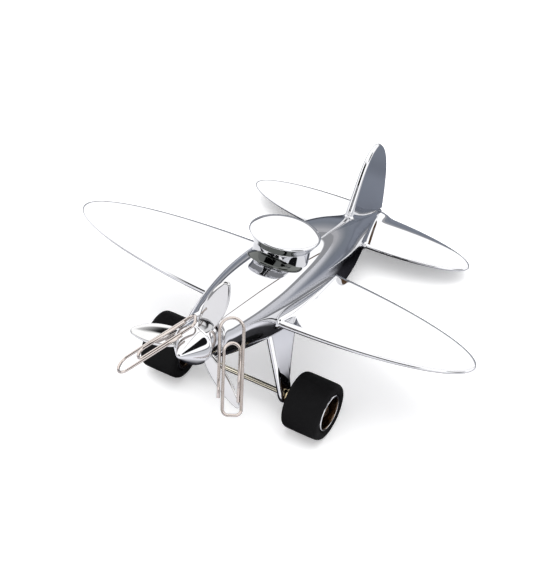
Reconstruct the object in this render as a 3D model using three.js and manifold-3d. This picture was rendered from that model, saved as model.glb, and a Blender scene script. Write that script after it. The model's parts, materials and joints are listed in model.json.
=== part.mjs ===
// A free-standing desk ornament: a chrome-plated tail-dragger monoplane with a
// magnetic three-blade propeller that holds paper clips, and a pilot's cap
// where the canopy would be.
//
// Millimetres. Ground frame: +Z up, z = 0 is the desk, the nose points to -Y
// and the port side to +X. Everything is drawn in the aircraft's own frame
// (spinner tip at 0, 0, 0, thrust line along +Y) and then tipped nose-up onto
// its two wheels and the ground flat under the tail.
import * as THREE from "three";
import { mergeVertices } from "three/addons/utils/BufferGeometryUtils.js";
import Module from "manifold-3d";

const wasm = await Module();
wasm.setup();

// ---- driving dimensions -----------------------------------------------------
const PITCH = 20.6; // nose-up stance, degrees
const GAP = 0.3; // clearance between neighbouring pieces

const HALF_SPAN = 77.5;
const WING = { y: 68.5, z: -1.7, front: 23.8, rear: 22.4, n: 1.97, root: 3.0, tip: 1.5 };
const TAIL = { half: 44.35, y: 139.3, z: -5.8, front: 14.6, rear: 14.7, n: 1.9, root: 2.2, tip: 1.2 };
const FIN = { thick: 3.0, top: 28.4 };

const SPINNER = { r: 7.0, back: 9.4 };
const HUB = { r: 6.9, front: 9.7, back: 16.6 };
const PROP = { y: 13.6, r: 26.1, width: 7.0, thick: 1.8, first: 13.8, pitch: 13 };

const WHEEL = { y: 55.67, z: -32.9, r: 10.51, inner: 21.05, outer: 35.35, rim: 6.85 };
const AXLE = { r: 0.95, half: 33.2 };
const CAP = { y: 68.1, rim: 12.55, rimZ: 19.0, band: 9.4 };
const CLIP = { length: 33, width: 9.0, wire: 1.0 };

// Fuselage stations: distance aft, half width, top and bottom.
const STATIONS = [
  [17.1, 7.6, 7.5, -8.0],
  [19.0, 8.2, 8.0, -8.7],
  [24.0, 9.5, 8.9, -10.1],
  [30.0, 10.8, 9.9, -11.4],
  [37.0, 12.1, 10.9, -12.8],
  [45.0, 13.2, 11.8, -14.1],
  [54.0, 14.1, 12.4, -15.3],
  [64.0, 14.5, 12.7, -16.5],
  [74.0, 14.4, 12.5, -17.3],
  [84.0, 14.4, 11.8, -18.1],
  [94.0, 13.8, 10.6, -18.6],
  [104.0, 12.7, 8.9, -18.9],
  [113.0, 10.7, 6.8, -18.8],
  [121.0, 8.6, 4.2, -18.0],
  [129.0, 6.7, 1.8, -15.9],
  [136.0, 5.2, -0.5, -13.7],
  [142.0, 4.0, -2.3, -11.9],
  [148.0, 2.8, -3.9, -9.6],
  [153.0, 1.8, -5.0, -7.3],
  [156.0, 0.9, -5.4, -6.4],
];

// ---- materials --------------------------------------------------------------
const FINISH = {
  chrome: [0xe9ecee, 0.06, 1.0],
  chromeDark: [0xb9bec6, 0.1, 1.0],
  steel: [0xc7c5c0, 0.25, 1.0],
  brass: [0xcfae6c, 0.28, 1.0],
  nickelWire: [0xb5aaa2, 0.22, 1.0],
  ferrite: [0x3c3d40, 0.55, 0.6],
  rubber: [0x17171a, 0.9, 0.0],
};

function paint(finish) {
  const [color, roughness, metalness] = FINISH[finish];
  return new THREE.MeshStandardMaterial({ color, roughness, metalness });
}

// ---- helpers ----------------------------------------------------------------
const rad = THREE.MathUtils.degToRad;
const mix = (a, b, t) => a + (b - a) * t;

function solid(geometry) {
  const bare = geometry.clone();
  bare.deleteAttribute("normal");
  bare.deleteAttribute("uv");
  const merged = mergeVertices(bare, 1e-4);
  return new wasm.Manifold(
    new wasm.Mesh({
      numProp: 3,
      vertProperties: new Float32Array(merged.attributes.position.array),
      triVerts: new Uint32Array(merged.index.array),
    }),
  );
}

function geometryOf(body) {
  const mesh = body.getMesh();
  const geometry = new THREE.BufferGeometry();
  geometry.setAttribute("position", new THREE.BufferAttribute(mesh.vertProperties, 3));
  geometry.setIndex(new THREE.BufferAttribute(mesh.triVerts, 1));
  geometry.computeVertexNormals();
  return geometry;
}

function cut(geometry, ...tools) {
  let body = solid(geometry);
  for (const tool of tools) body = body.subtract(solid(tool));
  return geometryOf(body);
}

function join(first, ...others) {
  let body = solid(first);
  for (const other of others) body = body.add(solid(other));
  return geometryOf(body);
}

// A turned piece: [radius, height] pairs, turned about +Z.
function turned(profile, segments = 24) {
  const points = profile.map(([r, h]) => new THREE.Vector2(r, h));
  return new THREE.LatheGeometry(points, segments).rotateX(Math.PI / 2);
}
// The same about the thrust line (+Y) or about the axle line (+X).
const turnedAboutY = (profile, segments) =>
  turned(profile, segments).rotateX(-Math.PI / 2).rotateY(Math.PI);
const turnedAboutX = (profile, segments) => turned(profile, segments).rotateY(Math.PI / 2);

function rod(radius, from, to, segments = 16) {
  const a = new THREE.Vector3(...from);
  const b = new THREE.Vector3(...to);
  const along = b.clone().sub(a);
  const geometry = new THREE.CylinderGeometry(radius, radius, along.length(), segments);
  const turn = new THREE.Quaternion().setFromUnitVectors(
    new THREE.Vector3(0, 1, 0),
    along.clone().normalize(),
  );
  geometry.applyQuaternion(turn);
  return geometry.translate(...a.add(b).multiplyScalar(0.5).toArray());
}

// Move every vertex of a geometry by a rule.
function reshape(geometry, rule) {
  const position = geometry.attributes.position;
  const p = new THREE.Vector3();
  for (let i = 0; i < position.count; i++) {
    p.fromBufferAttribute(position, i);
    rule(p);
    position.setXYZ(i, p.x, p.y, p.z);
  }
  geometry.computeVertexNormals();
  return geometry;
}

// ---- fuselage ---------------------------------------------------------------
// A teardrop, taller than it is wide towards the tail. grow makes the same
// shape larger all round, which trims neighbours to a clearance.
function teardrop(grow) {
  const first = STATIONS[0];
  const last = STATIONS[STATIONS.length - 1];
  const profile = [[0, first[0] - grow]];
  for (const [y, w] of STATIONS) {
    const end = y === first[0] ? -grow : y === last[0] ? grow : 0;
    profile.push([w + grow, y + end]);
  }
  profile.push([0, last[0] + grow]);
  const body = turned(profile, 36);
  return reshape(body, (p) => {
    const y = p.z;
    const { w, top, bottom } = station(y, grow);
    const centre = (top + bottom) / 2;
    const half = (top - bottom) / 2;
    const across = -p.x;
    const up = p.y;
    p.set(across, y, centre + (up * half) / w);
  });
}

// Half width, top and bottom of the fuselage at a distance aft.
function station(y, grow = 0) {
  const last = STATIONS.length - 1;
  let i = 0;
  while (i < last - 1 && y > STATIONS[i + 1][0]) i++;
  const a = STATIONS[i];
  const b = STATIONS[i + 1];
  const t = THREE.MathUtils.clamp((y - a[0]) / (b[0] - a[0]), 0, 1);
  return {
    w: mix(a[1], b[1], t) + grow,
    top: mix(a[2], b[2], t) + grow,
    bottom: mix(a[3], b[3], t) - grow,
  };
}

const sin = Math.sin(rad(PITCH));
const cos = Math.cos(rad(PITCH));
const DESK = WHEEL.z * cos - WHEEL.y * sin - WHEEL.r;

// The desk as a slab in the aircraft's frame, to grind the tail flat.
function deskSlab() {
  const slab = new THREE.BoxGeometry(60, 60, 20).translate(0, 0, -10);
  slab.translate(0, 140 * cos, DESK);
  return slab.rotateX(rad(PITCH));
}

const DOWELS = {
  wingFront: { y: 58, z: WING.z, r: 1.1, half: 24 },
  wingRear: { y: 78, z: WING.z, r: 1.1, half: 24 },
  tail: { y: 137, z: TAIL.z, r: 0.65, half: 11 },
};

const crossRod = ({ y, z, r, half }, extra = 0) =>
  rod(r + extra, [-half - extra, y, z], [half + extra, y, z]);

const FIN_PINS = [131, 141].map((y) => ({ y, r: 0.8 }));
function finPin({ y, r }, extra = 0) {
  const { top } = station(y);
  return rod(r + extra, [0, y, top - 5 - extra], [0, y, top + 6 + extra], 12);
}

// ---- undercarriage geometry -------------------------------------------------
const LEG = { topX: 8.2, topZ: -12, footX: 16.9, thick: 2.6, face: 17.9 };
const legSlope = Math.atan2(LEG.footX - LEG.topX, LEG.topZ - WHEEL.z);

function legPlate() {
  const reach = (LEG.topZ - WHEEL.z) / Math.cos(legSlope);
  const shape = new THREE.Shape();
  shape.moveTo(52.0 - WHEEL.y, reach + 3);
  shape.lineTo(71.6 - WHEEL.y, reach + 3);
  shape.lineTo(70.4 - WHEEL.y, reach - 3.5);
  shape.lineTo(3.4, 1.2);
  shape.absarc(0, 0, 3.3, 0.35, Math.PI - 0.2, true);
  shape.closePath();
  const plate = new THREE.ExtrudeGeometry(shape, {
    depth: LEG.thick - 1.4,
    bevelThickness: 0.7,
    bevelSize: 0.7,
    bevelOffset: -0.7,
    bevelSegments: 2,
    curveSegments: 10,
  });
  plate.translate(0, 0, -(LEG.thick - 1.4) / 2);
  // shape x runs aft, shape y runs up the leg
  plate.rotateX(Math.PI / 2).rotateZ(Math.PI / 2);
  plate.rotateY(-legSlope);
  plate.translate(LEG.footX, WHEEL.y, WHEEL.z);
  return plate;
}

function legPinEnds(extra) {
  const dx = Math.sin(legSlope);
  const dz = Math.cos(legSlope);
  const at = (s) => [LEG.footX - dx * s, 60.5, WHEEL.z + dz * s];
  return [at(13.5 - extra), at(27 + extra)];
}

function legPin(extra = 0) {
  const [low, high] = legPinEnds(extra);
  return rod(0.85 + extra, low, high, 12);
}

const mirrored = (geometry) => {
  const other = reshape(geometry.clone().toNonIndexed(), (p) => p.setX(-p.x));
  const a = other.attributes.position;
  for (let i = 0; i < a.count; i += 3) {
    const b = [a.getX(i + 1), a.getY(i + 1), a.getZ(i + 1)];
    a.setXYZ(i + 1, a.getX(i + 2), a.getY(i + 2), a.getZ(i + 2));
    a.setXYZ(i + 2, ...b);
  }
  other.computeVertexNormals();
  return other;
};

const NOSE_BORE = { r: 3.2, back: 40 };
const capScrewHole = rod(1.7, [0, CAP.y, 2], [0, CAP.y, 16]);

function fuselage() {
  const pinPort = legPin(GAP);
  return cut(
    teardrop(0),
    rod(NOSE_BORE.r, [0, 10, 0], [0, NOSE_BORE.back, 0], 24),
    capScrewHole,
    crossRod(DOWELS.wingFront, GAP),
    crossRod(DOWELS.wingRear, GAP),
    crossRod(DOWELS.tail, GAP),
    ...FIN_PINS.map((pin) => finPin(pin, GAP)),
    pinPort,
    mirrored(pinPort),
    deskSlab(),
  );
}

// ---- flying surfaces --------------------------------------------------------
// Half of a near-elliptical planform, rounded at the edge, thinner at the tip.
function panel(half, { y, z, front, rear, n, root, tip }) {
  const steps = 18;
  const shape = new THREE.Shape();
  const x = (t) => half * Math.pow(Math.sin(t), 2 / n);
  const d = (t, reach) => reach * Math.pow(Math.max(Math.cos(t), 0), 2 / n);
  shape.moveTo(0, -front);
  for (let i = 1; i <= steps; i++) {
    const t = (i / steps) * (Math.PI / 2);
    shape.lineTo(x(t), -d(t, front));
  }
  for (let i = steps - 1; i >= 0; i--) {
    const t = (i / steps) * (Math.PI / 2);
    shape.lineTo(x(t), d(t, rear));
  }
  shape.closePath();
  const edge = root * 0.34;
  const sheet = new THREE.ExtrudeGeometry(shape, {
    depth: root - 2 * edge,
    bevelThickness: edge,
    bevelSize: 0.9,
    bevelOffset: -0.9,
    bevelSegments: 2,
  });
  sheet.translate(0, 0, -root / 2 + edge);
  return reshape(sheet, (p) => {
    const t = THREE.MathUtils.clamp(p.x / half, 0, 1);
    p.z *= mix(1, tip / root, t);
    p.y += y;
    p.z += z;
  });
}

const grown = teardrop(GAP);

const wingPort = () =>
  cut(
    panel(HALF_SPAN, WING),
    grown,
    crossRod(DOWELS.wingFront, GAP),
    crossRod(DOWELS.wingRear, GAP),
  );

const tailPort = () => cut(panel(TAIL.half, TAIL), grown, crossRod(DOWELS.tail, GAP));

// The fin: an upright blade with a raked leading edge and a round top.
function fin() {
  const shape = new THREE.Shape();
  shape.moveTo(123.2, -4);
  shape.lineTo(123.6, 6.0);
  shape.bezierCurveTo(126.0, 12.0, 127.0, 18.5, 130.0, 23.6);
  shape.bezierCurveTo(132.6, 28.0, 137.6, FIN.top + 1.4, 141.2, 27.0);
  shape.bezierCurveTo(146.4, 24.0, 150.2, 17.0, 152.2, 10.0);
  shape.bezierCurveTo(153.6, 5.0, 154.8, 0.0, 155.6, -5.2);
  shape.lineTo(150, -8);
  shape.closePath();
  const blade = new THREE.ExtrudeGeometry(shape, {
    depth: FIN.thick - 1.8,
    bevelThickness: 0.9,
    bevelSize: 0.9,
    bevelOffset: -0.9,
    bevelSegments: 2,
    curveSegments: 9,
  });
  blade.translate(0, 0, -(FIN.thick - 1.8) / 2);
  blade.rotateX(Math.PI / 2).rotateZ(Math.PI / 2);
  reshape(blade, (p) => {
    const up = THREE.MathUtils.clamp((p.z - 2) / (FIN.top - 2), 0, 1);
    const aft = THREE.MathUtils.clamp((p.y - 130) / 26, 0, 1);
    p.x *= mix(1, 0.72, up) * mix(1, 0.55, aft);
  });
  return cut(
    blade,
    grown,
    panelSlot(),
    ...FIN_PINS.map((pin) => finPin(pin, GAP)),
  );
}

// Room for the tailplane where it reaches round the end of the fuselage.
const panelSlot = () => new THREE.BoxGeometry(30, 60, 12).translate(0, 150, TAIL.z - 4.4);

// ---- propeller --------------------------------------------------------------
const spinner = () =>
  turnedAboutY([
    [0, 0.0],
    [0.55, 0.12],
    [1.15, 0.55],
    [2.3, 1.75],
    [3.7, 3.4],
    [5.0, 5.2],
    [6.1, 7.1],
    [6.8, 8.7],
    [SPINNER.r, SPINNER.back],
    [2.2, SPINNER.back],
    [2.2, SPINNER.back - 3.4],
    [0, SPINNER.back - 3.4],
  ]);

const bladeAngle = (k) => rad(PROP.first - 120 * k);

// A blade as a petal, drawn up +Z from the shaft and then pitched and turned.
function petal(grow = 0) {
  const shape = new THREE.Shape();
  const w = PROP.width / 2 + grow;
  shape.moveTo(-2.2 - grow, 3.9 - grow);
  shape.lineTo(2.2 + grow, 3.9 - grow);
  shape.bezierCurveTo(w * 1.25, 10.0, w * 1.2, 19.5, 0.9, PROP.r - 0.3 + grow);
  shape.lineTo(-0.9, PROP.r - 0.3 + grow);
  shape.bezierCurveTo(-w * 1.2, 19.5, -w * 1.25, 10.0, -2.2 - grow, 3.9 - grow);
  const thick = PROP.thick + 2 * grow;
  const blade = new THREE.ExtrudeGeometry(shape, {
    depth: thick - 1.2,
    bevelThickness: 0.6,
    bevelSize: 0.7,
    bevelOffset: -0.7,
    bevelSegments: 2,
    curveSegments: 9,
  });
  blade.translate(0, 0, -(thick - 1.2) / 2);
  blade.rotateX(Math.PI / 2);
  return blade.rotateZ(rad(PROP.pitch));
}

const placeBlade = (geometry, k) =>
  geometry.rotateY(bladeAngle(k)).translate(0, PROP.y, 0);

function hub() {
  const disc = turnedAboutY([
    [2.2, HUB.front],
    [HUB.r - 0.5, HUB.front],
    [HUB.r, HUB.front + 0.5],
    [HUB.r, HUB.back - 0.5],
    [HUB.r - 0.5, HUB.back],
    [2.2, HUB.back],
    [2.2, HUB.front],
  ]);
  const sockets = [0, 1, 2].map((k) => placeBlade(socket(), k));
  return cut(disc, ...sockets, magnetRing(GAP));
}

// The pocket for a blade root: a plain slot a little larger than the root.
const socket = () =>
  new THREE.BoxGeometry(6.4, PROP.thick + 1.6, 8).rotateZ(rad(PROP.pitch)).translate(0, 0, 7.6);

// A ring magnet let into the front face of the hub, behind the spinner.
function magnetRing(extra = 0) {
  const front = HUB.front + 0.25 - (extra ? 1 : 0);
  return turnedAboutY([
    [2.9 - extra, front],
    [5.2 + extra, front],
    [5.2 + extra, HUB.front + 2.1 + extra],
    [2.9 - extra, HUB.front + 2.1 + extra],
    [2.9 - extra, front],
  ]);
}

// The pin carries spinner and hub and turns in the nose bush.
const propShaft = () =>
  turnedAboutY(
    [
      [0, 6.4],
      [1.9, 6.4],
      [1.9, HUB.back],
      [1.4, HUB.back + 0.4],
      [1.4, 32.6],
      [1.0, 33.0],
      [1.0, 34.2],
      [1.4, 34.6],
      [1.4, 36.0],
      [0, 36.0],
    ],
    20,
  );

const noseBush = () =>
  turnedAboutY(
    [
      [1.7, 17.4],
      [2.9, 17.4],
      [2.9, 31.6],
      [1.7, 31.6],
      [1.7, 17.4],
    ],
    24,
  );

// Snap ring in the groove of the shaft, behind the bush.
function snapRing() {
  const ring = turnedAboutY(
    [
      [1.3, 33.2],
      [2.6, 33.2],
      [2.6, 34.0],
      [1.3, 34.0],
      [1.3, 33.2],
    ],
    20,
  );
  return cut(ring, new THREE.BoxGeometry(1.6, 3, 4).translate(0, 33.6, -2.2));
}

// ---- wheels -----------------------------------------------------------------
const tyre = () => {
  const { inner, outer, r, rim } = WHEEL;
  return turnedAboutX(
    [
      [rim + 0.25, inner + 0.5],
      [rim + 0.8, inner],
      [r - 1.4, inner],
      [r - 0.4, inner + 0.4],
      [r, inner + 1.4],
      [r, outer - 1.4],
      [r - 0.4, outer - 0.4],
      [r - 1.4, outer],
      [rim + 0.8, outer],
      [rim + 0.25, outer - 0.5],
      [rim + 0.25, inner + 0.5],
    ],
    32,
  );
};

// The rim: a chrome barrel with a web in the middle that carries the bush.
const rim = () => {
  const { inner, outer, rim: r } = WHEEL;
  return turnedAboutX(
    [
      [2.5, inner + 5.0],
      [5.2, inner + 5.4],
      [5.4, inner + 0.6],
      [r - 0.3, inner + 0.2],
      [r, inner + 0.6],
      [r, outer - 0.6],
      [r - 0.3, outer - 0.1],
      [5.6, outer - 0.1],
      [5.2, outer - 0.6],
      [5.1, outer - 5.2],
      [2.5, outer - 4.8],
      [2.5, inner + 5.0],
    ],
    24,
  );
};

const wheelBush = () => {
  const { inner, outer } = WHEEL;
  return turnedAboutX(
    [
      [1.2, inner + 1.0],
      [2.25, inner + 1.0],
      [2.25, outer - 4.2],
      [1.2, outer - 4.2],
      [1.2, inner + 1.0],
    ],
    20,
  );
};

const spacer = () =>
  turnedAboutX(
    [
      [1.2, LEG.face + GAP],
      [2.3, LEG.face + GAP],
      [2.3, WHEEL.inner + 0.7],
      [1.2, WHEEL.inner + 0.7],
      [1.2, LEG.face + GAP],
    ],
    20,
  );

// A domed push cap on the end of the axle.
const axleCap = () =>
  turnedAboutX(
    [
      [1.15, 31.5],
      [2.3, 31.5],
      [2.5, 31.8],
      [2.5, 32.7],
      [1.9, 33.6],
      [0.9, 34.1],
      [0, 34.2],
      [0, 33.45],
      [1.15, 33.45],
      [1.15, 31.5],
    ],
    20,
  );

const axle = () => rod(AXLE.r, [-AXLE.half, 0, 0], [AXLE.half, 0, 0], 16);

function leg() {
  const bore = rod(AXLE.r + 0.25, [10, WHEEL.y, WHEEL.z], [28, WHEEL.y, WHEEL.z], 16);
  const spotFace = rod(2.8, [LEG.face, WHEEL.y, WHEEL.z], [28, WHEEL.y, WHEEL.z], 24);
  return cut(legPlate(), grown, bore, spotFace, legPin(GAP));
}

// ---- pilot's cap ------------------------------------------------------------
// The crown: a shallow dome over a wall that draws in to the band.
const crown = () =>
  turned(
    [
      [2.0, 15.0],
      [9.6, 15.0],
      [10.3, 15.6],
      [11.4, 16.9],
      [12.3, 18.3],
      [CAP.rim, CAP.rimZ],
      [12.3, 19.5],
      [11.0, 20.1],
      [8.0, 20.8],
      [4.0, 21.2],
      [0, 21.3],
      [0, 17.0],
      [2.0, 17.0],
      [2.0, 15.0],
    ],
    36,
  ).translate(0, CAP.y, 0);

function band() {
  const ring = turned(
    [
      [7.6, 6],
      [CAP.band, 6],
      [CAP.band, 14.7],
      [7.6, 14.7],
      [7.6, 6],
    ],
    32,
  ).translate(0, CAP.y, 0);
  return cut(ring, grown);
}

// The peak: a crescent across the front, bent down at its sides.
function visor() {
  const outer = new THREE.CylinderGeometry(12.4, 12.7, 1.0, 40);
  outer.rotateX(Math.PI / 2).translate(0, CAP.y - 0.6, 13.7);
  const hole = new THREE.CylinderGeometry(CAP.band + GAP, CAP.band + GAP, 6, 32);
  hole.rotateX(Math.PI / 2).translate(0, CAP.y, 13.7);
  const rear = new THREE.BoxGeometry(40, 30, 10).translate(0, CAP.y + 15 - 8.6, 13.7);
  return reshape(cut(outer, hole, rear), (p) => {
    p.z -= 0.018 * p.x * p.x;
  });
}

// The screw that draws the cap down onto the fuselage.
const capScrew = () =>
  turned(
    [
      [0, 3],
      [1.4, 3],
      [1.4, 13.6],
      [1.4, 16.6],
      [0, 16.6],
      [0, 3],
    ],
    16,
  ).translate(0, CAP.y, 0);

// ---- paper clips ------------------------------------------------------------
// The usual gem clip: three U bends of round wire in one plane. The path is
// drawn with the long axis along +Y and the round outer end at the top.
function clipPath() {
  const path = new THREE.CurvePath();
  const half = CLIP.width / 2 - CLIP.wire / 2;
  const top = CLIP.length / 2 - CLIP.wire / 2;
  const low = -top;
  const inner = half - 1.25;
  const v = (x, y) => new THREE.Vector3(x, y, 0);
  const bend = (cx, cy, r, from, to) => {
    const arc = new THREE.CubicBezierCurve3();
    const k = (4 / 3) * Math.tan((to - from) / 4);
    const a = v(cx + r * Math.cos(from), cy + r * Math.sin(from));
    const b = v(cx + r * Math.cos(to), cy + r * Math.sin(to));
    arc.v0 = a;
    arc.v1 = v(a.x - k * r * Math.sin(from), a.y + k * r * Math.cos(from));
    arc.v2 = v(b.x + k * r * Math.sin(to), b.y - k * r * Math.cos(to));
    arc.v3 = b;
    return arc;
  };
  const line = (a, b) => new THREE.LineCurve3(v(...a), v(...b));
  const P = Math.PI;
  // outer free end, up to the big round end, down to the squarer end, then the tongue
  path.add(line([-half, low + 5.5], [-half, top - half]));
  path.add(bend(0, top - half, half, P, P / 2));
  path.add(bend(0, top - half, half, P / 2, 0));
  path.add(line([half, top - half], [half - 0.3, low + 1.9]));
  path.add(bend(half - 2.2, low + 1.9, 1.9, 0, -P / 2));
  path.add(line([half - 2.2, low], [-half + 3.3, low]));
  path.add(bend(-half + 3.3, low + 1.9, 1.9, -P / 2, -P));
  path.add(line([-half + 1.4, low + 1.9], [-inner + 0.25, top - 11.0]));
  path.add(bend(0.25, top - 11.0, inner, P, P / 2));
  path.add(bend(0.25, top - 11.0, inner, P / 2, 0));
  path.add(line([inner + 0.25, top - 11.0], [inner - 0.1, low + 4.2]));
  return path;
}

function clip() {
  const section = new THREE.Shape();
  const side = CLIP.wire / 2;
  section.moveTo(side, 0);
  for (let k = 1; k < 8; k++) {
    section.lineTo(side * Math.cos(rad(45 * k)), side * Math.sin(rad(45 * k)));
  }
  section.closePath();
  return new THREE.ExtrudeGeometry(section, {
    steps: 56,
    curveSegments: 2,
    extrudePath: clipPath(),
    bevelEnabled: false,
  });
}

// Stand a clip in space from its long direction and the way its face looks.
function placeClip(geometry, centre, along, facing) {
  const y = new THREE.Vector3(...along).normalize();
  const z = new THREE.Vector3(...facing);
  z.addScaledVector(y, -z.dot(y)).normalize();
  const x = new THREE.Vector3().crossVectors(y, z);
  const frame = new THREE.Matrix4().makeBasis(x, y, z).setPosition(...centre);
  return geometry.applyMatrix4(frame);
}

// ---- assembly ---------------------------------------------------------------
const aircraft = new THREE.Group();

function add(name, geometry, finish, parent = aircraft) {
  const mesh = new THREE.Mesh(geometry, paint(finish));
  mesh.name = name;
  parent.add(mesh);
  return mesh;
}

add("fuselage", fuselage(), "chrome");

const port = wingPort();
add("wing_port", port, "chrome");
add("wing_starboard", mirrored(port), "chrome");
add("wing_dowel_front", crossRod(DOWELS.wingFront), "steel");
add("wing_dowel_rear", crossRod(DOWELS.wingRear), "steel");

const stabiliser = tailPort();
add("tailplane_port", stabiliser, "chrome");
add("tailplane_starboard", mirrored(stabiliser), "chrome");
add("tailplane_dowel", crossRod(DOWELS.tail), "steel");

add("fin", fin(), "chrome");
FIN_PINS.forEach((pin, i) => add(`fin_dowel_${i ? "rear" : "front"}`, finPin(pin), "steel"));

const strut = leg();
add("leg_port", strut, "chrome");
add("leg_starboard", mirrored(strut), "chrome");
add("leg_dowel_port", legPin(), "steel");
add("leg_dowel_starboard", mirrored(legPin()), "steel");

const undercarriage = new THREE.Group();
undercarriage.position.set(0, WHEEL.y, WHEEL.z);
aircraft.add(undercarriage);
add("axle", axle(), "brass", undercarriage);
for (const [side, sign] of [["port", 1], ["starboard", -1]]) {
  const wheel = new THREE.Group();
  wheel.scale.x = sign;
  undercarriage.add(wheel);
  add(`tyre_${side}`, tyre(), "rubber", wheel);
  add(`wheel_rim_${side}`, rim(), "chrome", wheel);
  add(`wheel_bush_${side}`, wheelBush(), "brass", wheel);
  add(`axle_spacer_${side}`, spacer(), "brass", wheel);
  add(`axle_cap_${side}`, axleCap(), "brass", wheel);
}

add("nose_bush", noseBush(), "brass");
add("prop_shaft", propShaft(), "steel");
add("snap_ring", snapRing(), "steel");
add("spinner", spinner(), "chrome");
add("prop_hub", hub(), "chromeDark");
add("magnet", magnetRing(), "ferrite");
for (let k = 0; k < 3; k++) add(`blade_${k + 1}`, placeBlade(petal(), k), "chrome");

add("cap_crown", crown(), "chrome");
add("cap_band", band(), "chrome");
add("cap_visor", visor(), "chrome");
add("cap_screw", capScrew(), "steel");

add(
  "paper_clip_port",
  placeClip(clip(), [13.74, 12.34, -3.39], [-0.367, 0.421, 0.83], [0.323, -0.779, 0.538]),
  "nickelWire",
);
add(
  "paper_clip_starboard",
  placeClip(clip(), [-10.09, 3.72, -1.7], [-0.612, -0.309, -0.728], [-0.612, -0.398, 0.683]),
  "nickelWire",
);

// Tip the aircraft onto its wheels and tail, and centre it over the desk.
aircraft.rotation.x = rad(-PITCH);
const ornament = new THREE.Group();
ornament.add(aircraft);
ornament.updateMatrixWorld(true);
aircraft.position.z = -DESK;
ornament.updateMatrixWorld(true);
const reach = new THREE.Box3().setFromObject(ornament, true);
aircraft.position.x = -(reach.min.x + reach.max.x) / 2;
aircraft.position.y = -(reach.min.y + reach.max.y) / 2;
ornament.updateMatrixWorld(true);

export default ornament;
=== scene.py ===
# %% [markdown]
# # A chromed desk monoplane that holds paper clips
# The real object is cast and turned metal, polished and plated until it is a
# mirror. A mirror shows every flat facet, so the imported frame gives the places
# and the motion, and smooth skins made here take over wherever plating shows.

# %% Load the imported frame
import functools
import json
import math

import bmesh
import bpy
from mathutils import Matrix, Vector


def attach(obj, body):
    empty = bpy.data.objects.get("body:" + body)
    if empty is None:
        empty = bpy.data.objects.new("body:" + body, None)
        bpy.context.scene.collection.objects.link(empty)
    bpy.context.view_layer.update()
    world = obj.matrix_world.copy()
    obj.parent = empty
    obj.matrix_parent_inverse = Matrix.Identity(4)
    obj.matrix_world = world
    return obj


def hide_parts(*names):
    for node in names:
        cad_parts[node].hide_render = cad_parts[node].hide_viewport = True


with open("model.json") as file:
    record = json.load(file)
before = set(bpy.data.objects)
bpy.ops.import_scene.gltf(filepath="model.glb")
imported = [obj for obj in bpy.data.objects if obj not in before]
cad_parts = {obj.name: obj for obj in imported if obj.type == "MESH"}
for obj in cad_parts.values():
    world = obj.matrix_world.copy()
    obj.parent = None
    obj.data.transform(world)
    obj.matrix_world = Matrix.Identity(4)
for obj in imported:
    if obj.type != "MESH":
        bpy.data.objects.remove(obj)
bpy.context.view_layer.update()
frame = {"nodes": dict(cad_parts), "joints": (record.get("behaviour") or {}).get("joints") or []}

nodes = frame["nodes"]
joint = {j["name"]: j for j in frame["joints"]}

# %% [markdown]
# ## The aircraft's own axes
# The model stands nose-up on its wheels. It is easier to draw it level, in
# millimetres, with the spinner's tip at zero and the thrust line along +Y, and
# to tip the finished shape. The propeller's joint gives that slope and place.

# %% Axes of the aircraft
PROP_PLANE = 13.6  # mm from the spinner's tip to the blades' middle
shaft = joint["propeller_spin"]
pitch = math.asin(-Vector(shaft["axis"]).normalized().z)
AIR = (
    Matrix.Translation(shaft["pos_m"])
    @ Matrix.Rotation(-pitch, 4, "X")
    @ Matrix.Scale(0.001, 4)
    @ Matrix.Translation((0, -PROP_PLANE, 0))
)
print("nose-up angle", round(math.degrees(pitch), 2))

# %% [markdown]
# ## The camera
# A long lens, well back and above the nose on the port side, keeps the wings
# nearly parallel. The roll is a fraction of a degree.

# %% Camera
CAMERA_BACK = Vector((0.3291, -0.5900, 0.7373)).normalized()
CAMERA_EYE = AIR @ Vector((293.40, -651.08, 428.40))
CAMERA_UP = Vector((-0.3680, 0.6389, 0.6755))
LENS = 164.7  # mm, on a 36 mm sensor

lens = bpy.data.cameras.new("camera")
lens.sensor_width = 36.0
lens.lens = LENS
lens.clip_start = 0.05
lens.clip_end = 20.0
camera = bpy.data.objects.new("camera", lens)
bpy.context.scene.collection.objects.link(camera)
side = CAMERA_UP.cross(CAMERA_BACK).normalized()
above = CAMERA_BACK.cross(side)
turn = Matrix((side, above, CAMERA_BACK)).transposed().to_4x4()
camera.matrix_world = Matrix.Translation(CAMERA_EYE) @ turn
bpy.context.scene.camera = camera
print("camera at", tuple(round(c, 3) for c in CAMERA_EYE))

# %% [markdown]
# ## Plating, wire, rubber and brass
# Chrome is a metal with a nearly neutral colour and hardly any roughness. What
# makes it real is the faint polish haze, which changes colour and roughness
# from patch to patch. Turned metal, wire and rubber add a fine bump. Both are
# noise on Object coordinates, so one function makes every finish.

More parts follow.
